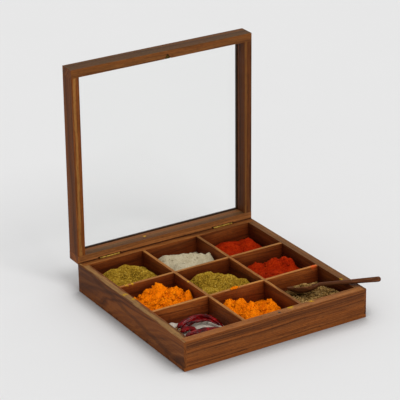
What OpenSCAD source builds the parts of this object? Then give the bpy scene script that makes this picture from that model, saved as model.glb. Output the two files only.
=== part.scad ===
// Square wooden spice box: nine divided cells, a glazed lid on two small brass butt hinges, a
// magnetic catch, the spices in the cells and a small wooden spoon. Millimetres, +Z up, +Y to the
// back. The origin is the middle of the underside of the base board. The lid is shown open, resting
// on the stop bevels at its back edge.

/* [Box] */
// Width of the box, side to side
box_w = 230; // [210:1:250]
// Depth of the box, front to back
box_d = 230; // [210:1:250]
// Height of the box without its lid
box_h = 34; // [30:1:40]
// Thickness of the four walls
wall_t = 9.5; // [9:0.5:12]
// Thickness of the board under the walls
base_t = 4; // [3:0.5:5]
// Thickness of the side walls left standing beside the corner rabbets
corner_lip = 2.8; // [2:0.2:4]

/* [Dividers] */
// Thickness of the dividers
divider_t = 3.6; // [3:0.2:6]
// How far the two row dividers stand off even spacing, towards the back
row_shift = 0.8; // [-3:0.2:3]

/* [Lid] */
// Thickness of the lid, measured as a height when it is shut
lid_t = 20; // [18:1:24]
// Width of the rails and stiles, across their faces
rail_w = 9.5; // [9:0.5:12]
// How far the lid opens before its bevel meets the box's bevel
open_angle = 89; // [80:1:100]
// Gap between the lid and the box when the lid is shut
seam_gap = 0.2; // [0.1:0.1:0.4]
// Thickness of the glass
glass_t = 2; // [1.5:0.5:3]
// Height of the beads that hold the glass
bead_h = 3; // [2:0.5:4]
// Width of the beads, and of the rebate that they and the glass sit in
bead_w = 4; // [3:0.5:5]

/* [Hinges] */
// Length of each hinge
hinge_l = 25; // [20:1:32]
// Distance of each hinge's middle from the middle of the box
hinge_x = 75; // [60:1:80]
// Width of a leaf, from the pin's axis to its free edge
leaf_w = 9; // [8.5:0.5:11]
// Thickness of the leaves
leaf_t = 1; // [0.8:0.1:1.2]
// Outer radius of the knuckles
knuckle_r = 1.5; // [1.4:0.1:1.6]
// Radius of the hinge pins
pin_r = 0.8; // [0.7:0.05:0.9]
// How far the pin's axis lies inside the back face
pivot_inset = 1; // [0.8:0.1:1.1]

/* [Catch] */
// Distance of the catch from the middle of the box, towards +X
catch_x = 5; // [-20:1:20]
// Radius of the catch's magnet
magnet_r = 1.5; // [1:0.1:1.6]

/* [Spices] */
// Height of the top of the tallest heaps above the ground
heap_top = 26; // [20:1:27]
// Height of the top of the seeds that the spoon lies over
seed_top = 18; // [14:1:19]

/* [Spoon] */
// Length of the spoon's bowl
bowl_l = 36; // [34:1:38]
// Whole length of the spoon
spoon_l = 104; // [100:1:108]
// Thickness of the spoon's round handle at its end
handle_t = 6; // [5:0.2:6.2]

/* [Hidden] */
$fn = 64;

// Colours
wood = "#7a4526";
dark_wood = "#2c1a10";
brass = "#b48c28";

// Box
fit_gap = 0.05;                       // room round a part let into another
inner_w = box_w - 2 * wall_t;
inner_d = box_d - 2 * wall_t;
wall_h = box_h - base_t;
cut = 1;                              // how far a cutter runs past the face it cuts
row_y = (inner_d + divider_t) / 6;    // distance of each row divider from the middle, if even
column_x = (inner_w + divider_t) / 6;
cell_w = (inner_w - 2 * divider_t) / 3;
cell_d = (inner_d - 2 * divider_t) / 3;
front_row_y = row_shift - row_y;
back_row_y = row_shift + row_y;

// Lid, as it lies when shut
lid_z = box_h + seam_gap;
pivot_y = box_d / 2 - pivot_inset;
pivot_z = box_h + seam_gap / 2;
stop_angle = open_angle / 2;          // slope of each stop bevel
rebate_d = glass_t + bead_h;
light_w = box_w - 2 * rail_w;         // the clear opening inside the rails and stiles
light_d = box_d - 2 * rail_w;

// Hinges
pin_gap = 0.05;                       // running clearance of a pin in its knuckles
knuckle_gap = 0.2;                    // gap between neighbouring knuckles
knuckle_relief = 0.3;                 // room between a knuckle and the wood
mortise_l = hinge_l + 5;
screw_x = 8.5;                        // distance of a leaf's screws from its middle
screw_drop = leaf_w - 3.2;            // distance of a screw from the pin's axis
screw_l = 7;
screw_r = 0.8;
screw_point = 1.5;
head_r = 1.6;
head_h = 0.8;
slot_w = 0.4;
slot_d = 0.35;

// Catch
magnet_h = 4;
magnet_y = -box_d / 2 + 4.2;
pocket_w = 8;                         // width of the plate's pocket at the rail's inner edge
pocket_l = 6;
pocket_d = 1.4;
plate_t = 1;
plate_drop = 0.2;                     // how far the plate lies below the rail's face
plate_scale = 0.8;                    // plate's size against its pocket's

// Spices
heap_gap = 1;                         // gap between a heap and the walls of its cell
heap_slope = 0.55;                    // part of a heap's height lost between its top and its corners
bed_top = 13;                         // height of the salt under the chillies
pod_r = 4;                            // radius of a dried chilli
pod_bends = [8, 18, 28];              // radius that each chilli is bent to
pod_angle = 140;                      // how far round each chilli bends
pod_turn = 20;                        // direction that the chillies face, from +X

// Spoon, in its own frame: the rim's plane is z = 0, and x runs from the bowl's tip to the handle
bowl_r = 10.8;                        // radius of the bowl's turned shape, about an axis over the rim
bowl_lift = 3;                        // height of that axis above the rim
bowl_wall = 1.8;
neck_t = 4;                           // thickness of the handle where it leaves the bowl
neck_x = bowl_l - 4;
spoon_tip = [55, -50.2, 25.8];
spoon_yaw = -41.7;
spoon_tilt = 9.4;
spoon_roll = -18;                     // how far the spoon has rolled over, away from the front

// Helpers

module box_at(low, high) {
    translate(low) cube(high - low);
}

// A prism along X, over the box's whole width, from an outline in Y and Z
module prism_x(outline, length) {
    rotate([90, 0, 90]) linear_extrude(height = length, center = true) polygon(outline);
}

// Turns what is drawn as it lies when shut to where it stands when open
module opened() {
    translate([0, pivot_y, pivot_z]) rotate([-open_angle, 0, 0]) translate([0, -pivot_y, -pivot_z])
        children();
}

// Turns what is drawn for the box's side of the seam to the lid's side
module lid_side() {
    translate([0, 0, pivot_z]) mirror([0, 0, 1]) translate([0, 0, -pivot_z]) children();
}

// A cylinder on the pin's axis, from one place along it to another
module on_pin(span, r) {
    translate([span[0], pivot_y, pivot_z]) rotate([0, 90, 0]) cylinder(h = span[1] - span[0], r = r);
}

// Where a leaf's screw goes: its head lies at z = 0, level with the back face, and +Z points out
module screw_place(x) {
    translate([x, box_d / 2, pivot_z - screw_drop]) rotate([-90, 0, 0]) children();
}

// What is cut from the box's side of the seam along the back: the bevel that stops the lid, and
// for each hinge the mortise for its leaf, the room for its knuckles, and its screw holes
module back_edge_cut() {
    bevel_w = pivot_inset + cut;
    bevel_drop = seam_gap / 2 + bevel_w * tan(stop_angle);
    prism_x([
        [pivot_y, pivot_z - seam_gap / 2],
        [pivot_y + bevel_w, pivot_z - bevel_drop],
        [pivot_y + bevel_w, pivot_z + cut],
        [pivot_y, pivot_z + cut]
    ], box_w + 2 * cut);
    leaf_room = hinge_l / 2 + fit_gap;
    knuckle_room = knuckle_r + knuckle_relief;
    for (side = [-1, 1]) translate([side * hinge_x, 0, 0]) {
        box_at(
            [-leaf_room, box_d / 2 - leaf_t - fit_gap, pivot_z - leaf_w - fit_gap],
            [leaf_room, box_d / 2 + cut, pivot_z + cut]
        );
        on_pin([-leaf_room, leaf_room], knuckle_room);
        intersection() {
            on_pin([-mortise_l / 2, mortise_l / 2], knuckle_room);
            box_at([-mortise_l, 0, 0], [mortise_l, pivot_y, 2 * box_h]);
        }
        for (x = [-screw_x, screw_x]) screw_place(x)
            translate([0, 0, -screw_l - cut]) cylinder(h = screw_l + 2 * cut, r = screw_r + fit_gap);
    }
}

// Box

module base_board() {
    color(wood) box_at([-box_w / 2, -box_d / 2, 0], [box_w / 2, box_d / 2, base_t]);
}

// A side wall runs the full depth, with a rabbet at each end for the front and back walls
module side_wall(side) {
    color(wood) difference() {
        translate([side * (box_w - wall_t) / 2, 0, base_t + wall_h / 2])
            cube([wall_t, box_d, wall_h], center = true);
        for (end = [-1, 1])
            translate([side * (box_w / 2 - corner_lip - wall_t), end * (box_d - wall_t) / 2, box_h / 2])
                cube([2 * wall_t, wall_t, box_h + 2 * cut], center = true);
        back_edge_cut();
    }
}

module left_wall() {
    side_wall(-1);
}

module right_wall() {
    side_wall(1);
}

// A front or back wall fits between the lips of the side walls
module end_wall(end) {
    translate([0, end * (box_d - wall_t) / 2, base_t + wall_h / 2])
        cube([box_w - 2 * corner_lip, wall_t, wall_h], center = true);
}

module front_wall() {
    color(wood) difference() {
        end_wall(-1);
        translate([catch_x, magnet_y, box_h - magnet_h])
            cylinder(h = magnet_h + cut, r = magnet_r + fit_gap);
    }
}

module back_wall() {
    color(wood) difference() {
        end_wall(1);
        back_edge_cut();
    }
}

// Row dividers are slotted from above for the column dividers
module row_divider(y) {
    color(wood) difference() {
        box_at([-inner_w / 2, y - divider_t / 2, base_t], [inner_w / 2, y + divider_t / 2, box_h]);
        for (x = [-column_x, column_x])
            box_at(
                [x - divider_t / 2 - fit_gap, y - divider_t, base_t + wall_h / 2],
                [x + divider_t / 2 + fit_gap, y + divider_t, box_h + cut]
            );
    }
}

module front_row_divider() {
    row_divider(front_row_y);
}

module back_row_divider() {
    row_divider(back_row_y);
}

// Column dividers are slotted from below for the row dividers
module column_divider(x) {
    color(wood) difference() {
        box_at([x - divider_t / 2, -inner_d / 2, base_t], [x + divider_t / 2, inner_d / 2, box_h]);
        for (y = [front_row_y, back_row_y])
            box_at(
                [x - divider_t, y - divider_t / 2 - fit_gap, base_t - cut],
                [x + divider_t, y + divider_t / 2 + fit_gap, base_t + wall_h / 2 + fit_gap]
            );
    }
}

module left_column_divider() {
    column_divider(-column_x);
}

module right_column_divider() {
    column_divider(column_x);
}

// Lid

// The rebate for the glass and its beads, open to the lid's outer face
module glass_rebate() {
    translate([0, 0, lid_z + lid_t - rebate_d + lid_t / 2])
        cube([light_w + 2 * bead_w, light_d + 2 * bead_w, lid_t], center = true);
}

// The triangular pocket for the catch's plate, in the face that meets the box
module catch_triangle(size, low, high) {
    translate([catch_x, -light_d / 2, low]) linear_extrude(height = high - low)
        polygon([[-pocket_w / 2 * size, cut], [-pocket_w / 2 * size, 0],
            [0, -pocket_l * size], [pocket_w / 2 * size, 0], [pocket_w / 2 * size, cut]]);
}

// A rail runs the full width of the lid
module lid_rail(end) {
    translate([0, end * (box_d - rail_w) / 2, lid_z + lid_t / 2])
        cube([box_w, rail_w, lid_t], center = true);
}

module lid_front_rail() {
    color(wood) opened() difference() {
        lid_rail(-1);
        glass_rebate();
        catch_triangle(1, lid_z - cut, lid_z + pocket_d);
    }
}

module lid_back_rail() {
    color(wood) opened() difference() {
        lid_rail(1);
        glass_rebate();
        lid_side() back_edge_cut();
    }
}

// A stile fits between the two rails
module lid_stile(side) {
    color(wood) opened() difference() {
        translate([side * (box_w - rail_w) / 2, 0, lid_z + lid_t / 2])
            cube([rail_w, light_d, lid_t], center = true);
        glass_rebate();
    }
}

module lid_left_stile() {
    lid_stile(-1);
}

module lid_right_stile() {
    lid_stile(1);
}

module lid_glass() {
    room = 2 * (bead_w - 4 * fit_gap);
    color("#dfe8e8", 0.3) opened() translate([0, 0, lid_z + lid_t - rebate_d + glass_t / 2])
        cube([light_w + room, light_d + room, glass_t], center = true);
}

// One mitred bead along X over the glass, on the side of the opening towards -Y
module bead(length, offset) {
    run = length / 2 - fit_gap;
    color(dark_wood) translate([0, 0, lid_z + lid_t - bead_h]) linear_extrude(height = bead_h)
        polygon([[-run, -offset], [run, -offset],
            [run + bead_w - fit_gap, -offset - bead_w + fit_gap],
            [-run - bead_w + fit_gap, -offset - bead_w + fit_gap]]);
}

module lid_front_bead() {
    opened() bead(light_w, light_d / 2);
}

module lid_back_bead() {
    opened() rotate([0, 0, 180]) bead(light_w, light_d / 2);
}

module lid_left_bead() {
    opened() rotate([0, 0, -90]) bead(light_d, light_w / 2);
}

module lid_right_bead() {
    opened() rotate([0, 0, 90]) bead(light_d, light_w / 2);
}

// Hinges

// Lengths of the three knuckles along the pin: each is [start, end]
knuckle_l = hinge_l / 3;
outer_knuckles = [
    [-hinge_l / 2, -knuckle_l / 2 - knuckle_gap],
    [knuckle_l / 2 + knuckle_gap, hinge_l / 2]
];
middle_knuckle = [[-knuckle_l / 2, knuckle_l / 2]];

// A screw with a slotted countersunk head, its face at z = 0
module screw() {
    difference() {
        union() {
            translate([0, 0, -head_h]) cylinder(h = head_h, r1 = screw_r, r2 = head_r);
            translate([0, 0, screw_point - screw_l])
                cylinder(h = screw_l - screw_point - head_h, r = screw_r);
            translate([0, 0, -screw_l]) cylinder(h = screw_point, r1 = screw_r / 4, r2 = screw_r);
        }
        cube([2 * head_r + cut, slot_w, 2 * slot_d], center = true);
    }
}

// One leaf on the box's side of the seam, level with the back face, with its own knuckles and room
// for the other leaf's
module leaf(own, other) {
    difference() {
        union() {
            difference() {
                box_at(
                    [-hinge_l / 2, box_d / 2 - leaf_t, pivot_z - leaf_w],
                    [hinge_l / 2, box_d / 2, pivot_z]
                );
                for (span = other)
                    on_pin(
                        [span[0] - 2 * knuckle_gap, span[1] + 2 * knuckle_gap],
                        knuckle_r + knuckle_gap
                    );
            }
            for (span = own) on_pin(span, knuckle_r);
        }
        on_pin([-hinge_l, hinge_l], pin_r + pin_gap);
        for (x = [-screw_x, screw_x]) screw_place(x) {
            translate([0, 0, -leaf_t - cut]) cylinder(h = leaf_t + 2 * cut, r = screw_r + fit_gap);
            translate([0, 0, -head_h]) cylinder(h = head_h + fit_gap, r1 = screw_r, r2 = head_r + fit_gap);
        }
    }
}

module lower_leaf(side) {
    color(brass) translate([side * hinge_x, 0, 0]) leaf(outer_knuckles, middle_knuckle);
}

module upper_leaf(side) {
    color(brass) opened() lid_side() translate([side * hinge_x, 0, 0]) leaf(middle_knuckle, outer_knuckles);
}

module hinge_pin(side) {
    color(brass) translate([side * hinge_x, 0, 0]) on_pin([-hinge_l / 2, hinge_l / 2], pin_r);
}

module left_hinge_lower_leaf() {
    lower_leaf(-1);
}

module left_hinge_upper_leaf() {
    upper_leaf(-1);
}

module left_hinge_pin() {
    hinge_pin(-1);
}

module right_hinge_lower_leaf() {
    lower_leaf(1);
}

module right_hinge_upper_leaf() {
    upper_leaf(1);
}

module right_hinge_pin() {
    hinge_pin(1);
}

// The four screws through the leaves on one side of the seam
module leaf_screws() {
    color(brass) for (side = [-1, 1], x = [-screw_x, screw_x])
        translate([side * hinge_x, 0, 0]) screw_place(x) screw();
}

module lower_hinge_screws() {
    leaf_screws();
}

module upper_hinge_screws() {
    opened() lid_side() leaf_screws();
}

// Catch

module catch_magnet() {
    color("#3a3a3c") translate([catch_x, magnet_y, box_h - magnet_h]) cylinder(h = magnet_h, r = magnet_r);
}

module catch_plate() {
    color(brass) opened() intersection() {
        catch_triangle(plate_scale, lid_z + plate_drop, lid_z + plate_drop + plate_t);
        lid_rail(-1);
    }
}

// Spices

// Middle of a cell, by its column and row, each -1, 0 or 1
function cell_middle(column, row) = [
    column * (cell_w + divider_t),
    row * (cell_d + divider_t) + (row == 0 ? row_shift : row_shift / 2)
];

// Depth of the cells in a row
function cell_depth(row) = cell_d - row * row_shift;

// A heap that fills a cell from the base board up, with a rounded top
module heap(column, row, top, tint) {
    middle = cell_middle(column, row);
    size = [cell_w - 2 * heap_gap, cell_depth(row) - 2 * heap_gap];
    drop = (top - base_t) * heap_slope;
    curve = (norm(size / 2) ^ 2 + drop ^ 2) / (2 * drop);
    color(tint) intersection() {
        translate([middle[0] - size[0] / 2, middle[1] - size[1] / 2, base_t])
            cube([size[0], size[1], box_h]);
        translate([middle[0], middle[1], top - curve]) sphere(r = curve, $fn = 240);
    }
}

module coriander_back_left() {
    heap(-1, 1, heap_top, "#8f7f2c");
}

module salt_back_middle() {
    heap(0, 1, heap_top, "#c4c0a8");
}

module chilli_powder_back_right() {
    heap(1, 1, heap_top, "#b02a06");
}

module turmeric_middle_left() {
    heap(-1, 0, heap_top, "#e88410");
}

module coriander_middle() {
    heap(0, 0, heap_top, "#8f7f2c");
}

module chilli_powder_middle_right() {
    heap(1, 0, heap_top, "#b02a06");
}

module salt_front_left() {
    heap(-1, -1, bed_top, "#c4c0a8");
}

module turmeric_front_middle() {
    heap(0, -1, heap_top, "#e88410");
}

module cumin_front_right() {
    heap(1, -1, seed_top, "#7d6a38");
}

// Bent pods side by side on the salt
module dried_chillies() {
    middle = cell_middle(-1, -1);
    color("#7a0410") translate([middle[0], middle[1] - pod_bends[0], bed_top + pod_r + fit_gap])
        for (bend = pod_bends) rotate([0, 0, pod_turn])
            rotate_extrude(angle = pod_angle) translate([bend, 0]) circle(r = pod_r);
}

// Spoon

// The turned shape that the bowl is cut from, along X, its surface set in by a given distance
module spindle(inset) {
    translate([bowl_l / 2, 0, bowl_lift]) rotate([0, 90, 0]) rotate_extrude()
        polygon([for (a = [0:10:180]) [(bowl_r - inset) * sin(a), (bowl_l / 2 - inset) * cos(a)]]);
}

// The round handle, thickening to a round end
module handle() {
    end = spoon_l - handle_t / 2;
    translate([neck_x, 0, 0]) rotate([0, 90, 0])
        cylinder(h = end - neck_x, r1 = neck_t / 2, r2 = handle_t / 2);
    translate([end, 0, 0]) sphere(d = handle_t);
}

module spoon() {
    color(dark_wood) translate(spoon_tip) rotate([spoon_roll, -spoon_tilt, spoon_yaw]) difference() {
        union() {
            intersection() {
                spindle(0);
                box_at([-cut, -2 * bowl_r, -2 * bowl_r], [bowl_l + cut, 2 * bowl_r, 0]);
            }
            handle();
        }
        spindle(bowl_wall);
    }
}

base_board();
front_wall();
back_wall();
left_wall();
right_wall();
front_row_divider();
back_row_divider();
left_column_divider();
right_column_divider();
lid_front_rail();
lid_back_rail();
lid_left_stile();
lid_right_stile();
lid_glass();
lid_front_bead();
lid_back_bead();
lid_left_bead();
lid_right_bead();
left_hinge_lower_leaf();
left_hinge_upper_leaf();
left_hinge_pin();
right_hinge_lower_leaf();
right_hinge_upper_leaf();
right_hinge_pin();
lower_hinge_screws();
upper_hinge_screws();
catch_magnet();
catch_plate();
coriander_back_left();
salt_back_middle();
chilli_powder_back_right();
turmeric_middle_left();
coriander_middle();
chilli_powder_middle_right();
salt_front_left();
dried_chillies();
turmeric_front_middle();
cumin_front_right();
spoon();
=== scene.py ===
import math

import bmesh
import bpy
import numpy as np
from mathutils import Matrix, Vector, noise


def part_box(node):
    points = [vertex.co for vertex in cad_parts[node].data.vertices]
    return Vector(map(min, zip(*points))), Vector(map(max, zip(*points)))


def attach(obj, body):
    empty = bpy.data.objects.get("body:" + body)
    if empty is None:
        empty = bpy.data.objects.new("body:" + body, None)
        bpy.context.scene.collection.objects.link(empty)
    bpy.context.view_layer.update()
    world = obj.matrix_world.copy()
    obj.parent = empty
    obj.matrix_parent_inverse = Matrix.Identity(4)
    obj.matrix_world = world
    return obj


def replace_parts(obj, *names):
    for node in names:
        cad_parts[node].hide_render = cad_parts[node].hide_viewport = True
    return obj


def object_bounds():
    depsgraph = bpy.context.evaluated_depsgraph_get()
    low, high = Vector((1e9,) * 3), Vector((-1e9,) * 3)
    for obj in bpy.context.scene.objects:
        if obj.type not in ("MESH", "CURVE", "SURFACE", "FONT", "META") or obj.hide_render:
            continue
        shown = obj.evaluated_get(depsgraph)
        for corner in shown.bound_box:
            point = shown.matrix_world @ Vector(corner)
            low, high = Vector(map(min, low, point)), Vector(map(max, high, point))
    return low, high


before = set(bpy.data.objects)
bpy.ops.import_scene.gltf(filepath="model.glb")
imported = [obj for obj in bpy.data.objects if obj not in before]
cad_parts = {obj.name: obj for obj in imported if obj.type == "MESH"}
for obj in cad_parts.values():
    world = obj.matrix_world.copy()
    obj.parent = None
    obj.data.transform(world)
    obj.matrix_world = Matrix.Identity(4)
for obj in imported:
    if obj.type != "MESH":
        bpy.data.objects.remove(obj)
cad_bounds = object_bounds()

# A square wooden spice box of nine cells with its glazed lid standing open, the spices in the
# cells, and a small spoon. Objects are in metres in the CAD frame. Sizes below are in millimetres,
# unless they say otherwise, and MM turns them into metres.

MM = 0.001


# Camera, light and floor

CAMERA_AIM = Vector((0.0062, 0.0491, 0.1059))  # metres
CAMERA_DISTANCE = 2.104       # metres
CAMERA_AZIMUTH = -30.99       # degrees; 0 looks along +Y
CAMERA_ELEVATION = 23.01      # degrees
CAMERA_ROLL = -1.11           # degrees
CAMERA_LENS = 171.3           # on a 36 mm sensor
CAMERA_FAR = 50               # metres

SKY = 0.72                    # brightness of the even light from all round
KEY_STRENGTH = 1.15
KEY_FROM = (0.18, -1.15, 1.35)
KEY_SPREAD = 26               # degrees across
FLOOR_SIZE = 30.0             # metres from the middle to each side
FLOOR_GAP = 0.05              # between the floor and the base board
FLOOR_PALE = 0.805
CONTACT_REACH = 28            # how far the dark of the contact shadow spreads
CONTACT_DEPTH = 0.5           # what is left of the floor's colour in the darkest part of it


def add_camera():
    """A long lens aimed at CAMERA_AIM, from above and to one side."""
    azimuth, elevation = math.radians(CAMERA_AZIMUTH), math.radians(CAMERA_ELEVATION)
    away = Vector((
        math.sin(azimuth) * math.cos(elevation),
        -math.cos(azimuth) * math.cos(elevation),
        math.sin(elevation),
    ))
    data = bpy.data.cameras.new("camera")
    data.lens = CAMERA_LENS
    data.clip_end = CAMERA_FAR
    camera = bpy.data.objects.new("camera", data)
    turn = (-away).to_track_quat("-Z", "Y").to_matrix()
    roll = Matrix.Rotation(math.radians(CAMERA_ROLL), 3, "Z")
    camera.matrix_world = Matrix.Translation(CAMERA_AIM + away * CAMERA_DISTANCE) @ (turn @ roll).to_4x4()
    bpy.context.scene.collection.objects.link(camera)
    bpy.context.scene.camera = camera


def add_light():
    """Even light from all round, and one broad, soft key light."""
    world = bpy.data.worlds.new("studio")
    world.use_nodes = True
    background = world.node_tree.nodes["Background"]
    background.inputs["Color"].default_value = (SKY, SKY, SKY, 1)
    bpy.context.scene.world = world
    data = bpy.data.lights.new("key", "SUN")
    data.energy = KEY_STRENGTH
    data.angle = math.radians(KEY_SPREAD)
    key = bpy.data.objects.new("key", data)
    key.rotation_euler = Vector(KEY_FROM).to_track_quat("Z", "Y").to_euler()
    bpy.context.scene.collection.objects.link(key)
    bpy.context.scene.view_settings.view_transform = "Standard"


# Materials

class Shader:
    """A material's node tree. Each method adds a node and gives back its output socket."""

    def __init__(self, name):
        self.material = bpy.data.materials.new(name)
        self.material.use_nodes = True
        self.tree = self.material.node_tree
        self.tree.nodes.clear()

    def node(self, kind, inputs=None, **settings):
        made = self.tree.nodes.new("ShaderNode" + kind)
        for key, value in settings.items():
            setattr(made, key, value)
        for key, value in (inputs or {}).items():
            if isinstance(value, bpy.types.NodeSocket):
                self.tree.links.new(value, made.inputs[key])
            else:
                made.inputs[key].default_value = value
        return made

    def math(self, operation, a, b=0.0, clamp=False):
        return self.node("Math", {0: a, 1: b}, operation=operation, use_clamp=clamp).outputs[0]

    def vector(self, operation, a, b, output=0):
        return self.node("VectorMath", {0: a, 1: b}, operation=operation).outputs[output]

    def position(self):
        """The place on the object, in mm in the CAD frame."""
        place = self.node("TexCoord").outputs["Object"]
        return self.node("VectorMath", {0: place, "Scale": 1 / MM}, operation="SCALE").outputs[0]

    def split(self, vector):
        return self.node("SeparateXYZ", {0: vector}).outputs[:3]

    def join(self, x, y, z):
        return self.node("CombineXYZ", {0: x, 1: y, 2: z}).outputs[0]

    def drawn(self, a, b, along, share):
        """Coordinates shortened along the grain, which draw a noise out along it."""
        return self.join(a, b, self.math("MULTIPLY", along, share))

    def noise(self, vector, scale, detail=3.0, roughness=0.55):
        inputs = {"Vector": vector, "Scale": scale, "Detail": detail, "Roughness": roughness}
        return self.node("TexNoise", inputs).outputs["Fac"]

    def line_noise(self, along, scale, detail, roughness):
        """Noise that changes in one direction only."""
        inputs = {"W": along, "Scale": scale, "Detail": detail, "Roughness": roughness}
        return self.node("TexNoise", inputs, noise_dimensions="1D").outputs["Fac"]

    def fade(self, value, start, end, low=0.0, high=1.0):
        """low where value is at start, high where it is at end, and smoothly between."""
        inputs = {"Value": value, "From Min": start, "From Max": end, "To Min": low, "To Max": high}
        return self.node("MapRange", inputs, interpolation_type="SMOOTHSTEP").outputs[0]

    def ramp(self, value, stops):
        made = self.node("ValToRGB", {"Fac": value})
        band = made.color_ramp
        while len(band.elements) < len(stops):
            band.elements.new(1.0)
        for element, (place, color) in zip(band.elements, stops):
            element.position = place
            element.color = (*color, 1)
        return made.outputs["Color"]

    def mix(self, amount, a, b, blend="MIX"):
        made = self.node("Mix", {0: amount}, data_type="RGBA", blend_type=blend)
        for place, value in ((6, a), (7, b)):
            if isinstance(value, bpy.types.NodeSocket):
                self.tree.links.new(value, made.inputs[place])
            else:
                made.inputs[place].default_value = (*value, 1)
        return made.outputs[2]

    def facing(self, direction):
        """1 on the sides that look one way and 0 on the others."""
        normal = self.node("TexCoord").outputs["Normal"]
        return self.fade(self.vector("DOT_PRODUCT", normal, direction, 1), 0.6, 0.8)

    def bump(self, height, depth, strength=1.0):
        return self.node("Bump", {"Height": height, "Distance": depth, "Strength": strength}).outputs[0]

    def edge(self, radius):
        """1 along the edges and 0 on the flats, over a width of about radius metres."""
        rounded = self.node("Bevel", {"Radius": radius}, samples=4).outputs[0]
        flat = self.node("NewGeometry").outputs["Normal"]
        return self.fade(self.vector("DOT_PRODUCT", rounded, flat, 1), 0.995, 0.87)

    def finish(self, **inputs):
        named = {key.replace("_", " "): value for key, value in inputs.items()}
        shader = self.node("BsdfPrincipled", named)
        self.node("OutputMaterial", {"Surface": shader.outputs[0]})
        return self.material


WOOD_DARK = (0.062, 0.0175, 0.0045)
WOOD_MID = (0.155, 0.0420, 0.0085)
WOOD_LIGHT = (0.255, 0.0840, 0.0200)
WOOD_BLACK = (0.036, 0.0120, 0.0050)
WOOD_ORANGE = (0.260, 0.0720, 0.0120)
WOOD_RED = (0.200, 0.0430, 0.0060)
WOOD_TAN = (0.380, 0.1500, 0.0420)
WOOD_GOLD = (0.330, 0.1500, 0.0360)
WOOD_STRAW = (0.370, 0.2050, 0.0700)
WOOD_OLIVE = (0.215, 0.1130, 0.0380)
# Painted sheen: the greyer colour of the sides of the lid that look up, lit from above
SHEEN_GREY = (0.100, 0.0620, 0.0260)
# Painted shade in the corners between boards keeps this share of the colour
CORNER_SHADE = (0.30, 0.14, 0.10)     # what is left of the colour in deep corners
# Painted shade in the narrow hollows of the spices reaches this far
HOLLOW_SHADE_REACH = 4               # how narrow a hollow in a spice has to be to look dark
TURMERIC_STAIN = (0.50, 0.27, 0.008)
CHILLI_STAIN = (0.42, 0.05, 0.006)


def tint_faces(s, color, value, faces):
    """Tints the sides that look one way, less where the figure is dark."""
    for direction, tint, share in faces:
        shown = s.math("MULTIPLY", s.facing(direction), s.fade(value, 0.36, 0.58, 0.55 * share, share))
        color = s.mix(shown, color, tint)
    return color


def add_streaks(s, color, value, lines, streaks):
    """Bands with slightly wavy edges. lines are the coordinates across and along the grain."""
    for direction, across, middle, half, tint, share in streaks:
        away = s.math("SUBTRACT", s.vector("DOT_PRODUCT", s.position(), across, 1), middle)
        wave = s.noise(s.drawn(*lines, 0.5), 0.06, 3.0, 0.6)
        away = s.math("ADD", away, s.fade(wave, 0.3, 0.7, -0.35 * half, 0.35 * half))
        shown = s.fade(s.math("ABSOLUTE", away), 1.15 * half, 0.55 * half)
        shown = s.math("MULTIPLY", shown, s.facing(direction))
        shown = s.math("MULTIPLY", shown, s.fade(value, 0.34, 0.62, 0.5 * share, share))
        color = s.mix(shown, color, tint)
    return color


def add_stains(s, color, stains):
    """Speckled spots of spilt spice."""
    place = s.position()
    for middle, radius, tint in stains:
        away = s.vector("DISTANCE", place, middle, 1)
        speckle = s.noise(place, 0.55, 3.0, 0.7)
        shown = s.math("SUBTRACT", speckle, s.math("MULTIPLY", away, 0.5 / radius))
        color = s.mix(s.fade(shown, 0.14, 0.34, 0.0, 0.85), color, tint)
    return color


def paint_corner_shade(s, color, reach, share):
    """Paints shade into the colour next to other boards, deepest in the corners."""
    seen = s.node("AmbientOcclusion", {"Distance": reach * MM}, samples=8).outputs["AO"]
    deep = s.mix(1.0, color, CORNER_SHADE, "MULTIPLY")
    return s.mix(s.fade(seen, 0.82, 0.42, 0.0, share), color, deep)


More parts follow.
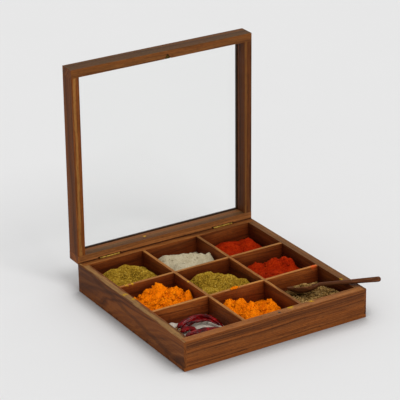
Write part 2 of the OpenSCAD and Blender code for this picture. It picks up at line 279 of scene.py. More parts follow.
def wood(name, grain, pith, tilt=0.0, tone=1.0, faces=(), streaks=(), stains=(), corners=None):
    """Dark, streaky hardwood.

    grain: the axis that it runs along
    pith: the place of the tree's middle, across the grain
    tilt: how far the growth rings drift for each mm along the grain
    tone: what the colour is multiplied by
    faces: tints of the sides that look one way, each (way, tint, share)
    streaks: bands on the sides that look one way, each (way, direction across the band, middle along
        that, half width, tint, share)
    stains: spots of spilt spice, each (middle, radius, tint)
    corners: painted shade in the corners between boards, as (reach, share)
    """
    s = Shader(name)
    x, y, z = s.split(s.position())
    lines = {"x": (y, z, x), "y": (x, z, y), "z": (x, y, z)}[grain]
    a, b, along = lines

    # Growth rings round the pith, a little uneven, make narrow streaks and broad bands
    off_a = s.math("ADD", s.math("SUBTRACT", a, pith[0]), s.math("MULTIPLY", along, tilt))
    across = s.join(off_a, s.math("SUBTRACT", b, pith[1]), 0.0)
    ring = s.node("VectorMath", {0: across}, operation="LENGTH").outputs["Value"]
    wander = s.noise(s.drawn(*lines, 0.18), 0.045, 2.0, 0.5)
    ring = s.math("ADD", ring, s.math("MULTIPLY", wander, 7.0))
    streak = s.line_noise(ring, 0.62, 5.0, 0.68)
    band = s.line_noise(ring, 0.13, 2.0, 0.5)

    # Fibres, pores and patches are drawn out along the grain
    fibre = s.noise(s.drawn(*lines, 0.03), 1.3, 4.0, 0.65)
    pore = s.noise(s.drawn(*lines, 0.06), 3.6, 1.0, 0.5)
    patch = s.noise(s.drawn(*lines, 0.4), 0.05, 2.0)

    value = s.math("ADD", s.math("MULTIPLY", streak, 0.52), s.math("MULTIPLY", fibre, 0.48))
    color = s.ramp(value, [(0.40, WOOD_DARK), (0.49, WOOD_MID), (0.59, WOOD_LIGHT)])
    color = tint_faces(s, color, value, faces)
    color = s.mix(s.fade(band, 0.48, 0.36, 0.0, 0.45), color, WOOD_BLACK)
    color = s.mix(s.fade(band, 0.52, 0.64, 0.0, 0.35), color, WOOD_ORANGE)
    color = s.mix(s.fade(patch, 0.35, 0.7, 0.0, 0.25), color, WOOD_MID)
    color = add_streaks(s, color, value, lines, streaks)
    color = s.mix(s.fade(pore, 0.57, 0.70, 0.0, 0.6), color, WOOD_BLACK)
    color = s.mix(s.math("MULTIPLY", s.edge(0.9 * MM), 0.35), color, WOOD_LIGHT)
    color = add_stains(s, color, stains)
    # Painted shade in the corners between boards
    if corners:
        color = paint_corner_shade(s, color, *corners)
    color = s.mix(1.0, color, (tone, tone, tone), "MULTIPLY")
    height = s.math("SUBTRACT", s.math("MULTIPLY", fibre, 0.5), s.fade(pore, 0.58, 0.72))
    return s.finish(
        Base_Color=color,
        Roughness=s.fade(fibre, 0.3, 0.7, 0.48, 0.64),
        Specular_IOR_Level=0.08,
        Normal=s.bump(height, 0.12 * MM),
    )


def dark_wood(name, color, axes=((1, 0, 0), (0, 1, 0), (0, 0, 1))):
    """Fine, dark wood, its grain along the first of the axes."""
    s = Shader(name)
    place = s.position()
    x, y, z = (s.vector("DOT_PRODUCT", place, axis, 1) for axis in axes)
    fibre = s.noise(s.join(s.math("MULTIPLY", x, 0.05), y, z), 1.1, 4.0, 0.6)
    patch = s.noise(s.join(s.math("MULTIPLY", x, 0.2), y, z), 0.12, 2.0)
    pale = tuple(min(1.0, 2.4 * c) for c in color)
    deep = tuple(0.35 * c for c in color)
    tint = s.ramp(fibre, [(0.34, deep), (0.5, color), (0.7, pale)])
    tint = s.mix(s.fade(patch, 0.45, 0.7, 0.0, 0.4), tint, pale)
    tint = s.mix(s.math("MULTIPLY", s.edge(0.8 * MM), 0.5), tint, pale)
    return s.finish(
        Base_Color=tint,
        Roughness=s.fade(fibre, 0.3, 0.7, 0.42, 0.60),
        Specular_IOR_Level=0.1,
        Normal=s.bump(fibre, 0.15 * MM, 0.7),
    )


def brass(name, shine=1.0):
    """Tarnished brass. shine is what its colour is multiplied by."""
    s = Shader(name)
    place = s.position()
    x, y, z = s.split(place)
    scratch = s.noise(s.join(s.math("MULTIPLY", x, 0.1), y, z), 6.0, 2.0)
    tarnish = s.noise(place, 0.5, 4.0, 0.65)
    stops = [(0.34, (0.10, 0.050, 0.010)), (0.54, (0.36, 0.21, 0.035)), (0.75, (0.62, 0.41, 0.09))]
    color = s.ramp(tarnish, stops)
    color = s.mix(s.math("MULTIPLY", s.edge(0.3 * MM), 0.4), color, (0.80, 0.60, 0.22))
    color = s.mix(1.0, color, (shine, shine, shine), "MULTIPLY")
    return s.finish(
        Base_Color=color,
        Metallic=1.0,
        Roughness=s.fade(tarnish, 0.35, 0.65, 0.5, 0.26),
        Normal=s.bump(scratch, 0.04 * MM, 0.6),
    )


def steel(name):
    """Dark, dull steel with worn patches."""
    s = Shader(name)
    wear = s.noise(s.position(), 1.8, 4.0)
    return s.finish(
        Base_Color=s.ramp(wear, [(0.35, (0.022, 0.018, 0.014)), (0.7, (0.075, 0.062, 0.050))]),
        Metallic=1.0,
        Roughness=s.fade(wear, 0.3, 0.7, 0.35, 0.55),
    )


def glass(name):
    """A clear thin pane: what is behind shows through unmoved, under a faint reflection."""
    s = Shader(name)
    smear = s.noise(s.position(), 0.03, 3.0)
    clear = s.node("BsdfTransparent", {"Color": (0.992, 0.995, 0.993, 1)}).outputs[0]
    gloss = s.node("BsdfGlossy", {"Roughness": s.fade(smear, 0.35, 0.7, 0.02, 0.09)}).outputs[0]
    facing = s.node("Fresnel", {"IOR": 1.45}).outputs[0]
    both = s.node("MixShader", {0: s.math("MULTIPLY", facing, 0.15), 1: clear, 2: gloss}).outputs[0]
    s.node("OutputMaterial", {"Surface": both})
    return s.material


def spice(name, stops, grain_size, rough=0.85, depth=0.25, hollow_shade=0.0):
    """Powder or grains, in the colours of a ramp.

    The mesh's own tint picks the place on the ramp, with speckles of about grain_size mm round it.
    The last argument is the share of the ramp's first colour that is painted as shade into narrow hollows.
    """
    s = Shader(name)
    place = s.position()
    tint = s.node("Attribute", attribute_name="tint").outputs["Fac"]
    speckle = s.noise(place, 0.5 / grain_size, 3.0, 0.7)
    cloud = s.noise(place, 0.09, 2.0)
    value = s.math("ADD", tint, s.fade(speckle, 0.25, 0.75, -0.22, 0.22))
    value = s.math("ADD", value, s.fade(cloud, 0.3, 0.7, -0.10, 0.10), clamp=True)
    color = s.ramp(value, stops)
    # Painted shade in the narrow hollows
    if hollow_shade:
        seen = s.node("AmbientOcclusion", {"Distance": HOLLOW_SHADE_REACH * MM}, samples=6).outputs["AO"]
        color = s.mix(s.fade(seen, 0.92, 0.45, 0.0, hollow_shade), color, stops[0][1])
    return s.finish(
        Base_Color=color,
        Roughness=rough,
        Specular_IOR_Level=0.04,
        Normal=s.bump(speckle, depth * MM),
    )


def chilli_skin(name):
    """Thin, creased, glossy skin in dark and bright reds."""
    s = Shader(name)
    place = s.position()
    blotch = s.noise(place, 0.16, 3.0, 0.6)
    crease = s.noise(place, 0.8, 3.0, 0.6)
    stops = [
        (0.34, (0.022, 0.0002, 0.0006)),
        (0.54, (0.120, 0.0003, 0.0010)),
        (0.70, (0.280, 0.0006, 0.0020)),
    ]
    return s.finish(
        Base_Color=s.ramp(blotch, stops),
        Roughness=s.fade(crease, 0.3, 0.7, 0.05, 0.11),
        Specular_IOR_Level=0.14,
        Normal=s.bump(crease, 0.12 * MM),
    )


def floor_paint(name):
    """Pale, even paint, under a painted contact shadow that darkens it softly next to what stands on it.
    """
    s = Shader(name)
    mottle = s.noise(s.node("TexCoord").outputs["Object"], 6.0, 2.0)
    pale = s.fade(mottle, 0.0, 1.0, FLOOR_PALE - 0.004, FLOOR_PALE + 0.004)
    # Painted contact shadow next to what stands on the floor
    near = s.node("AmbientOcclusion", {"Distance": CONTACT_REACH * MM}, samples=8).outputs["AO"]
    pale = s.math("MULTIPLY", pale, s.fade(near, 0.5, 0.98, CONTACT_DEPTH, 1.0))
    return s.finish(Base_Color=s.join(pale, pale, pale), Roughness=0.9, Specular_IOR_Level=0.1)


# Meshes

def add_mesh(name, vertices, faces, materials, tints=None, smooth=True, face_materials=None):
    """A new object, with a tint for each vertex and the number of its material for each face."""
    mesh = bpy.data.meshes.new(name)
    mesh.from_pydata(np.asarray(vertices).tolist(), [], [tuple(f) for f in faces])
    for material in materials:
        mesh.materials.append(material)
    if tints is not None:
        attribute = mesh.attributes.new("tint", "FLOAT", "POINT")
        attribute.data.foreach_set("value", np.asarray(tints, np.float32))
    if face_materials is not None:
        mesh.polygons.foreach_set("material_index", np.asarray(face_materials, np.int32))
    mesh.polygons.foreach_set("use_smooth", [smooth] * len(mesh.polygons))
    mesh.update()
    made = bpy.data.objects.new(name, mesh)
    bpy.context.scene.collection.objects.link(made)
    return made


class Builder:
    """Gathers the parts of one joined mesh, in mm."""

    def __init__(self):
        self.vertices, self.faces, self.tints, self.materials = [], [], [], []
        self.count = 0

    def add(self, vertices, faces, tints, material=0):
        vertices = np.asarray(vertices, float).reshape(-1, 3)
        self.vertices.append(vertices)
        self.tints.append(np.broadcast_to(np.asarray(tints, float), (len(vertices),)))
        self.faces.extend((np.asarray(faces) + self.count).tolist())
        self.materials.extend([material] * len(faces))
        self.count += len(vertices)

    def scatter(self, rng, shapes, places, sizes, tints, turns=None):
        """Copies of one of the shapes at each place, each turned at random and with its own tint."""
        turns = random_turns(rng, len(places)) if turns is None else turns
        choice = rng.integers(len(shapes), size=len(places))
        for index, (vertices, faces) in enumerate(shapes):
            mine = np.nonzero(choice == index)[0]
            placed = np.einsum("nij,vj->nvi", turns[mine], vertices) * sizes[mine][:, None, None]
            placed = placed + places[mine][:, None, :]
            first = np.arange(len(mine))[:, None, None] * len(vertices)
            all_faces = (faces[None] + first).reshape(-1, faces.shape[1])
            self.add(placed, all_faces, np.repeat(tints[mine], len(vertices)))

    def make(self, name, materials):
        vertices = np.concatenate(self.vertices) * MM
        tints = np.concatenate(self.tints)
        return add_mesh(name, vertices, self.faces, materials, tints, face_materials=self.materials)


def random_turns(rng, count, lying=0.0):
    """Random rotation matrices. With lying near 1 the shapes' X axes stay close to level."""
    yaw = rng.uniform(0, 2 * math.pi, count)
    pitch = rng.uniform(-1, 1, count) * (math.pi / 2) * (1 - lying)
    roll = rng.uniform(0, 2 * math.pi, count)
    cy, sy, cp, sp, cr, sr = (f(v) for v in (yaw, pitch, roll) for f in (np.cos, np.sin))
    rows = [
        [cy * cp, cy * sp * sr - sy * cr, cy * sp * cr + sy * sr],
        [sy * cp, sy * sp * sr + cy * cr, sy * sp * cr - cy * sr],
        [-sp, cp * sr, cp * cr],
    ]
    return np.array(rows).transpose(2, 0, 1)


def ball(subdivisions):
    """Vertices and triangles of a unit icosphere."""
    made = bmesh.new()
    bmesh.ops.create_icosphere(made, subdivisions=subdivisions, radius=1.0)
    vertices = np.array([v.co for v in made.verts])
    faces = np.array([[v.index for v in f.verts] for f in made.faces])
    made.free()
    return vertices, faces


def crumbs(rng, count, jitter, squash):
    """Several small, angular lumps of about unit radius."""
    vertices, faces = ball(1)
    shapes = []
    for _ in range(count):
        stretch = rng.uniform(squash, 1.15, 3)
        radius = 1 + rng.uniform(-jitter, jitter, (len(vertices), 1))
        shapes.append((vertices * radius * stretch, faces))
    return shapes


def clods(rng, count):
    """Several lumps with a rough, broken surface, of about unit radius."""
    roughness = 0.6
    vertices, faces = ball(3)
    shapes = []
    for _ in range(count):
        start = Vector(rng.uniform(-50, 50, 3))
        radius = [1 + roughness * noise.fractal(Vector(v) * 1.4 + start, 0.7, 2.2, 4) for v in vertices]
        shapes.append((vertices * np.array(radius)[:, None] * rng.uniform(0.7, 1.1, 3), faces))
    return shapes


def tube(points, radii, sides, squash, folds, seed):
    """A closed tube along the points, with a radius for each.

    squash is its height for its width, and folds the depth of its soft lengthwise folds.
    """
    points = np.asarray(points, float)
    ahead = np.gradient(points, axis=0)
    ahead /= np.linalg.norm(ahead, axis=1)[:, None]
    side = np.cross(ahead[0], (0, 0, 1.0))
    side /= np.linalg.norm(side)
    rings = []
    angles = np.linspace(0, 2 * math.pi, sides, endpoint=False)
    for step, (point, direction, radius) in enumerate(zip(points, ahead, radii)):
        side = side - direction * side.dot(direction)
        side /= np.linalg.norm(side)
        up = np.cross(side, direction)
        wrinkle = [
            1 + folds * noise.noise(Vector((2.2 * math.cos(t), 2.2 * math.sin(t), 0.14 * step + seed)))
            + folds * 0.6 * math.cos(3 * t + seed + 0.08 * step)
            for t in angles
        ]
        across, tall = np.cos(angles) * wrinkle, np.sin(angles) * wrinkle * squash
        rings.append(point + (np.outer(across, side) + np.outer(tall, up)) * radius)
    vertices = np.concatenate([*rings, points[:1], points[-1:]])
    first_middle = len(points) * sides
    last_middle = first_middle + 1
    last_ring = first_middle - sides
    faces = []
    for ring in range(len(points) - 1):
        for k in range(sides):
            after = (k + 1) % sides
            here, there = ring * sides, (ring + 1) * sides
            faces.append((here + k, here + after, there + after))
            faces.append((here + k, there + after, there + k))
    for k in range(sides):
        after = (k + 1) % sides
        faces.append((first_middle, after, k))
        faces.append((last_middle, last_ring + k, last_ring + after))
    return vertices, np.array(faces)


def curve_through(points, count):
    """count points spread along a smooth (Catmull-Rom) curve through the given ones."""
    points = np.asarray(points, float)
    padded = np.concatenate([2 * points[:1] - points[1:2], points, 2 * points[-1:] - points[-2:-1]])
    out = []
    for t in np.linspace(0, len(points) - 1.0001, count):
        k = int(t)
        f = t - k
        p0, p1, p2, p3 = padded[k:k + 4]
        out.append(0.5 * (
            2 * p1 + (p2 - p0) * f + (2 * p0 - 5 * p1 + 4 * p2 - p3) * f ** 2
            + (3 * p1 - p0 - 3 * p2 + p3) * f ** 3
        ))
    return np.array(out)


# Cells. The columns run from left to right and the rows from front to back.

def spans(axis, low_wall, dividers, high_wall):
    """The (low, high) ends, along an axis, of the gaps between two walls and their dividers."""
    edges = [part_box(low_wall)[1][axis]]
    for divider in dividers:
        low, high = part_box(divider)
        edges += [low[axis], high[axis]]
    edges.append(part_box(high_wall)[0][axis])
    edges = [e / MM for e in edges]
    return list(zip(edges[::2], edges[1::2]))


COLUMNS = spans(0, "left_wall", ("left_column_divider", "right_column_divider"), "right_wall")
ROWS = spans(1, "front_wall", ("front_row_divider", "back_row_divider"), "back_wall")
CELL_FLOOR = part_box("base_board")[1].z / MM
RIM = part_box("front_wall")[1].z / MM
LID_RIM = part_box("lid_left_stile")[0].z / MM  # the open lid's stiles stand on its back rail
LEFT, MIDDLE, RIGHT = 0, 1, 2
FRONT, BACK = 0, 2


class Heap:
    """A heap in one cell.

    Its top blends round mounds, each (x, y, top, radius): x and y from the middle of the cell, and top
    from the ground. foot is how high it stands away from them. lump and fine are the heights of its
    coarse and fine roughness, and lump_size and fine_size their widths.
    """

    GAP = 0.15                # left between the heap and the wood
    STEP = 0.7                # size of the surface's mesh
    LIFT = 0.05               # left between the heap and the cell's floor
    BLEND = 1.0               # how softly the mounds run together
    WALL_DROP = 2.5           # how much lower the heap is at the wood
    WALL_REACH = 3.0          # how far from the wood that is felt

    def __init__(self, column, row, foot, mounds, seed,
                 lump=1.0, lump_size=7.0, fine=0.25, fine_size=1.6):
        self.x0, self.x1 = COLUMNS[column]
        self.y0, self.y1 = ROWS[row]
        self.middle = np.array([(self.x0 + self.x1) / 2, (self.y0 + self.y1) / 2])
        self.foot = foot
        self.mounds = mounds
        self.lump, self.lump_size = lump, lump_size
        self.fine, self.fine_size = fine, fine_size
        self.rng = np.random.default_rng(seed)
        self.seed = seed

    def top(self, x, y):
        """Height of the surface at a place in the CAD frame."""
        total = 0.0
        for mx, my, height, radius in self.mounds:
            away = math.hypot(x - self.middle[0] - mx, y - self.middle[1] - my) / radius
            total += math.exp((height - self.foot) * math.exp(-0.75 * away * away) / self.BLEND)
        z = self.foot + self.BLEND * math.log(total / len(self.mounds))
        wall = min(x - self.x0, self.x1 - x, y - self.y0, self.y1 - y)
        z -= self.WALL_DROP * math.exp(-wall / self.WALL_REACH)
        here = Vector((x, y, 7.0 * self.seed))
        z += self.lump * noise.fractal(here / self.lump_size, 0.8, 2.1, 4)
        return z + self.fine * noise.fractal(here / self.fine_size, 0.6, 2.3, 3)

    def tops(self, points):
        return np.array([self.top(x, y) for x, y in points])

    def body(self, builder, tint):
        """Adds the heap's closed surface, down to the cell's floor."""
        xs = np.linspace(self.x0 + self.GAP, self.x1 - self.GAP, int((self.x1 - self.x0) / self.STEP))
        ys = np.linspace(self.y0 + self.GAP, self.y1 - self.GAP, int((self.y1 - self.y0) / self.STEP))
        wide, deep = len(xs), len(ys)
        points = np.array([(x, y) for y in ys for x in xs])
        heights = self.tops(points)
        upper = np.column_stack([points, heights])
        lower = np.column_stack([points, np.full(len(points), CELL_FLOOR + self.LIFT)])
        grid = np.arange(wide * deep).reshape(deep, wide)
        quads = np.stack([grid[:-1, :-1], grid[:-1, 1:], grid[1:, 1:], grid[1:, :-1]], -1).reshape(-1, 4)
        rim = np.concatenate([grid[0, :-1], grid[:-1, -1], grid[-1, :0:-1], grid[:0:-1, 0]])
        after = np.roll(rim, -1)
        below = len(upper)
        skirt = np.stack([rim, rim + below, after + below, after], -1)
        faces = np.concatenate([quads, quads[:, ::-1] + below, skirt])
        builder.add(np.concatenate([upper, lower]), faces, tint)

    def spots(self, count, inset, sunk):
        """Random places on the heap's surface, inset from the wood and sunk into the heap."""
        points = self.rng.uniform(
            (self.x0 + inset, self.y0 + inset), (self.x1 - inset, self.y1 - inset), (count, 2)
        )
        return np.column_stack([points, self.tops(points) - sunk])


# Spices. A tint runs from 0, the dark end of the material's ramp, to 1.

CORIANDER_BITS = 6500
DUST_GRAINS = 2600
CUMIN_SEEDS = 1900
SPOONFUL_SEEDS = 170
SPILT_CLODS = 60
POWDER_TINT = 0.5


def heap_piece(builder, node, material):
    """The joined heap, which stands for the CAD part of that name."""
    made = builder.make(node + "_heap", [material])
    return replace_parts(made, node)


def coriander(node, heap, material):
    """Coarsely ground seed: small broken bits."""
    builder = Builder()
    heap.body(builder, tint=0.15)
    bits = crumbs(heap.rng, 8, jitter=0.28, squash=0.6)
    places = heap.spots(CORIANDER_BITS, inset=1.0, sunk=0.0)
    sizes = heap.rng.uniform(0.40, 0.85, len(places))
    builder.scatter(heap.rng, bits, places, sizes, heap.rng.uniform(0.3, 0.8, len(places)))
    return heap_piece(builder, node, material)


def powder(node, heap, material, clod_count, clod_size):
    """Fine powder with clods in it."""
    builder = Builder()
    heap.body(builder, POWDER_TINT)
    lumps = clods(heap.rng, 5)
    places = heap.spots(clod_count, inset=3.0, sunk=0.5)
    sizes = clod_size * heap.rng.uniform(0.3, 1.0, len(places)) ** 2
    tints = POWDER_TINT + heap.rng.uniform(-0.12, 0.2, len(places))
    builder.scatter(heap.rng, lumps, places, sizes, tints)
    dust = crumbs(heap.rng, 6, jitter=0.3, squash=0.6)
    places = heap.spots(DUST_GRAINS, inset=1.0, sunk=0.1)
    sizes = heap.rng.uniform(0.2, 0.5, len(places))
    tints = POWDER_TINT + heap.rng.uniform(-0.3, 0.35, len(places))
    builder.scatter(heap.rng, dust, places, sizes, tints)
    return heap_piece(builder, node, material)


def seed_shapes(rng, count):
    """Several cumin seeds, each a bent, ribbed spindle along X, with a length of 1."""
    shapes = []
    for _ in range(count):
        t = np.linspace(0.0, 1.0, 9)
        bend = rng.uniform(-0.12, 0.12)
        line = np.column_stack([t - 0.5, bend * (1 - (2 * t - 1) ** 2), 0 * t])
        width = rng.uniform(0.10, 0.13)
        radii = width * np.sin(math.pi * np.clip(t, 0.03, 0.97)) ** 0.65
        seed = float(rng.uniform(0, 9))
        shapes.append(tube(line, radii, sides=8, squash=0.85, folds=0.14, seed=seed))
    return shapes


def cumin(node, heap, material):
    """Whole seeds, most of them lying nearly level."""
    builder = Builder()
    heap.body(builder, tint=0.02)
    seeds = seed_shapes(heap.rng, 6)
    places = heap.spots(CUMIN_SEEDS, inset=2.6, sunk=0.1)
    sizes = heap.rng.uniform(4.4, 6.2, len(places))
    turns = random_turns(heap.rng, len(places), lying=0.72)
    builder.scatter(heap.rng, seeds, places, sizes, heap.rng.uniform(0.1, 1.0, len(places)), turns)
    return heap_piece(builder, node, material)


# Route of each chilli in the CAD frame, from its stem to its tip, with its radius
CHILLIES = [
    ([(-89, -58, 19.5), (-82, -57.5, 23), (-73, -57.5, 25.5), (-63, -60, 27), (-54, -66.5, 26),
      (-48.5, -75, 21.5), (-45, -80, 18)], 3.1),
    ([(-88.3, -64, 19.5), (-81, -64, 22.5), (-72.5, -63.5, 24.5), (-64, -65.5, 25), (-56, -70, 24),
      (-49, -78, 19.5)], 2.5),
    ([(-92, -79, 18), (-82, -79, 20.5), (-71, -81, 21.5), (-60, -83, 20.5), (-50, -84, 18.5),
      (-44, -86, 17)], 2.9),
    ([(-90, -65, 18), (-84, -68, 21), (-79.5, -71, 22), (-77.5, -76, 21), (-76, -84, 18)], 3.1),
    ([(-100, -90, 19), (-87, -89, 21.5), (-73, -90, 22), (-60, -92, 21.5), (-46, -98, 18)], 3.5),
    ([(-99, -99, 17), (-84, -97, 19), (-68, -99, 19), (-55, -101, 17)], 3.0),
]
STALK_CLEARANCE = 1.2         # from a stalk's middle to the left wall


def chillies(skin, stalk):
    """Dried pods with sunken folds, each with its short, rising stalk."""
    builder = Builder()
    for number, (route, radius) in enumerate(CHILLIES):
        line = curve_through(route, 64)
        t = np.linspace(0, 1, len(line))
        radii = radius * np.minimum(1.0, (t / 0.10 + 0.12) ** 0.5) * (1 - t ** 4) ** 0.7 + 0.15
        radii = radii * np.array([1 + 0.16 * noise.noise(Vector((9 * k, number, 3.0))) for k in t])
        pod = tube(line, radii, sides=24, squash=0.72, folds=0.26, seed=number * 1.7)
        builder.add(*pod, tints=0.5, material=0)
        back = line[0] - line[2]
        back = back / np.linalg.norm(back)
        bend = [(0.0, 0.0), (1.5, 0.0), (4.0, 0.8), (6.0, 2.4)]
        stem = curve_through([line[0] + back * out + (0, 0, rise) for out, rise in bend], 14)
        stem[:, 0] = np.maximum(stem[:, 0], COLUMNS[LEFT][0] + STALK_CLEARANCE)
        radii = np.linspace(1.9, 0.75, len(stem))
        stalk_tube = tube(stem, radii, sides=10, squash=1.0, folds=0.12, seed=number)
        builder.add(*stalk_tube, tints=0.5, material=1)
    pods = builder.make("dried_chilli_pods", [skin, stalk])
    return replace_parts(pods, "dried_chillies")


# Spoon, in its own frame: the rim's plane is z = 0, and x runs from the bowl's tip to the handle.
# SPOON_TIP is the place of the bowl's tip in the CAD frame, and the turns are in degrees.

SPOON_TIP = Vector((55.0, -50.2, 25.8))
SPOON_YAW = -41.7
SPOON_TILT = 9.4
SPOON_ROLL = -18.0
SPOON_LENGTH = 104.0
SPOON_STATIONS = 150          # sections along the whole spoon
BOWL_STATIONS = 50            # further sections along the bowl
BOWL_LENGTH = 36.0
BOWL_WIDTH = 20.8
BOWL_DEPTH = 7.7
BOWL_WALL = 1.6
NECK_RADIUS = 2.0
END_RADIUS = 3.0
THINNEST = 0.05               # half width of the sections at the two ends


def spoon_turn():
    """The rotation from the spoon's own frame to the CAD frame."""
    yaw = Matrix.Rotation(math.radians(SPOON_YAW), 3, "Z")
    tilt = Matrix.Rotation(math.radians(-SPOON_TILT), 3, "Y")
    roll = Matrix.Rotation(math.radians(SPOON_ROLL), 3, "X")
    return yaw @ tilt @ roll


def from_spoon(points):
    """Places in the CAD frame of points given in the spoon's own frame."""
    return np.asarray(points) @ np.array(spoon_turn()).T + np.array(SPOON_TIP)


def spoon_section(x):
    """Half width, depth below the rim's plane and height above it, at a distance from the tip.

    The height is below 0 in the bowl's hollow.
    """
    t = min(1.0, max(0.0, x / BOWL_LENGTH))
    oval = math.sqrt(max(0.0, 1 - (2 * t - 1) ** 2))
    end = SPOON_LENGTH - x
    along = max(0.0, x - BOWL_LENGTH) / (SPOON_LENGTH - BOWL_LENGTH)
    handle = NECK_RADIUS + (END_RADIUS - NECK_RADIUS) * along
    if end < END_RADIUS:
        handle *= math.sqrt(max(0.0, 1 - ((END_RADIUS - end) / END_RADIUS) ** 2))
    neck = 1 / (1 + math.exp(-(x - BOWL_LENGTH + 3.0) / 1.2))
    width = max(BOWL_WIDTH / 2 * oval, handle * neck)
    depth = max(BOWL_DEPTH * oval ** 1.1, handle * neck)
    hollow = max(0.0, BOWL_DEPTH * oval ** 1.1 - BOWL_WALL)
    return max(width, THINNEST), max(depth, THINNEST), handle * neck - hollow * (1 - neck)


def spoon(material):
    """The wooden spoon: closed rings, their lower halves first, along its length."""
    stations = SPOON_LENGTH * (1 - np.cos(np.linspace(0, math.pi, SPOON_STATIONS))) / 2
    bowl_stations = np.linspace(0.3, BOWL_LENGTH + 4, BOWL_STATIONS)
    stations = np.sort(np.concatenate([stations, bowl_stations]))
    half = 16                 # sides of each half ring
    rings = []
    for x in stations:
        width, depth, height = spoon_section(x)
        for k in range(half + 1):
            angle = math.pi * k / half
            rings.append((x, -width * math.cos(angle), -depth * math.sin(angle)))
        lip = min(BOWL_WALL * 0.8, width * 0.3) if height < 0 else 0.0
        for k in range(1, half):
            angle = math.pi * k / half
            rings.append((x, (width - lip) * math.cos(angle), height * math.sin(angle)))
    sides = 2 * half
    faces = []
    for ring in range(len(stations) - 1):
        for k in range(sides):
            after = (k + 1) % sides
            here, there = ring * sides, (ring + 1) * sides
            faces.append((here + k, here + after, there + after, there + k))
    faces.append(range(sides - 1, -1, -1))
    faces.append(range(len(rings) - sides, len(rings)))
    made = add_mesh("wooden_spoon", from_spoon(rings) * MM, faces, [material])
    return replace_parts(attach(made, "spoon"), "spoon")


def spoonful(material):
    """The seeds heaped in the spoon's bowl."""
    rng = np.random.default_rng(77)
    builder = Builder()
    count = SPOONFUL_SEEDS
    turn = rng.uniform(0, 2 * math.pi, count)
    reach = np.sqrt(rng.uniform(0, 1, count))
    half_length, half_width = BOWL_LENGTH / 3, 6.8
    edge_height, crown = -2.8, 4.6
    x = BOWL_LENGTH / 2 + half_length * reach * np.cos(turn)
    y = half_width * reach * np.sin(turn)
    z = edge_height + crown * (1 - reach ** 2) + rng.uniform(-0.7, 0.5, count)
    places = from_spoon(np.column_stack([x, y, z]))
    turns = np.array(spoon_turn()) @ random_turns(rng, count, lying=0.75)
    sizes = rng.uniform(4.2, 5.6, count)
    builder.scatter(rng, seed_shapes(rng, 5), places, sizes, rng.uniform(0.3, 1.0, count), turns)
    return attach(builder.make("spoonful_of_cumin", [material]), "spoon")


def spilt_turmeric(material):
    """A few clods spilt on the top of the front row's divider."""
    rng = np.random.default_rng(31)
    builder = Builder()
    count = SPILT_CLODS
    front, back = ROWS[FRONT][1] + 0.2, ROWS[MIDDLE][0] - 0.2
    x = rng.normal(-2, 2.6, count)
    y = rng.uniform(front, back, count)
    places = np.column_stack([x, y, np.full(count, RIM + 0.3)])
    lumps = clods(rng, 4)
    builder.scatter(rng, lumps, places, rng.uniform(0.3, 1.1, count), rng.uniform(0.4, 0.8, count))
    return builder.make("spilt_turmeric", [material])


# Putting it together

WELD_REACH = 0.01             # vertices closer than this are joined before the bevel
EASED_EDGE = 0.35             # width of the bevel on the boards' edges
BEAD_BROWN = (0.026, 0.011, 0.004)
SPOON_BROWN = (0.092, 0.030, 0.010)
STALK_BROWN = (0.16, 0.085, 0.03)


def ease_edges(node):
    """Takes the sharp corners off a wooden part."""
    weld = node.modifiers.new("weld", "WELD")
    weld.merge_threshold = WELD_REACH * MM
    bevel = node.modifiers.new("ease", "BEVEL")
    bevel.width = EASED_EDGE * MM
    bevel.segments = 2
    bevel.limit_method = "ANGLE"
    bevel.angle_limit = math.radians(40)
    bevel.harden_normals = True


def paint(node_name, material):
    """Gives a CAD part one material."""
    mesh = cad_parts[node_name].data
    mesh.materials.clear()
    mesh.materials.append(material)


UP = (0, 0, 1)
LEFTWARD = (-1, 0, 0)
FORWARD = (0, -1, 0)          # the way that the open lid's seam faces look
ACROSS_X = (1, 0, 0)          # directions across a streak
ACROSS_Y = (0, 1, 0)
ACROSS_Z = (0, 0, 1)

CELL_WALL = [(UP, WOOD_GOLD, 0.7), (FORWARD, WOOD_RED, 0.5), (LEFTWARD, WOOD_RED, 0.6)]
# Painted shade in the corners of the cells and next to the lid's seam, as (reach, share)
CELL_CORNER_SHADE = (26, 0.85)
LID_CORNER_SHADE = (2.5, 0.7)

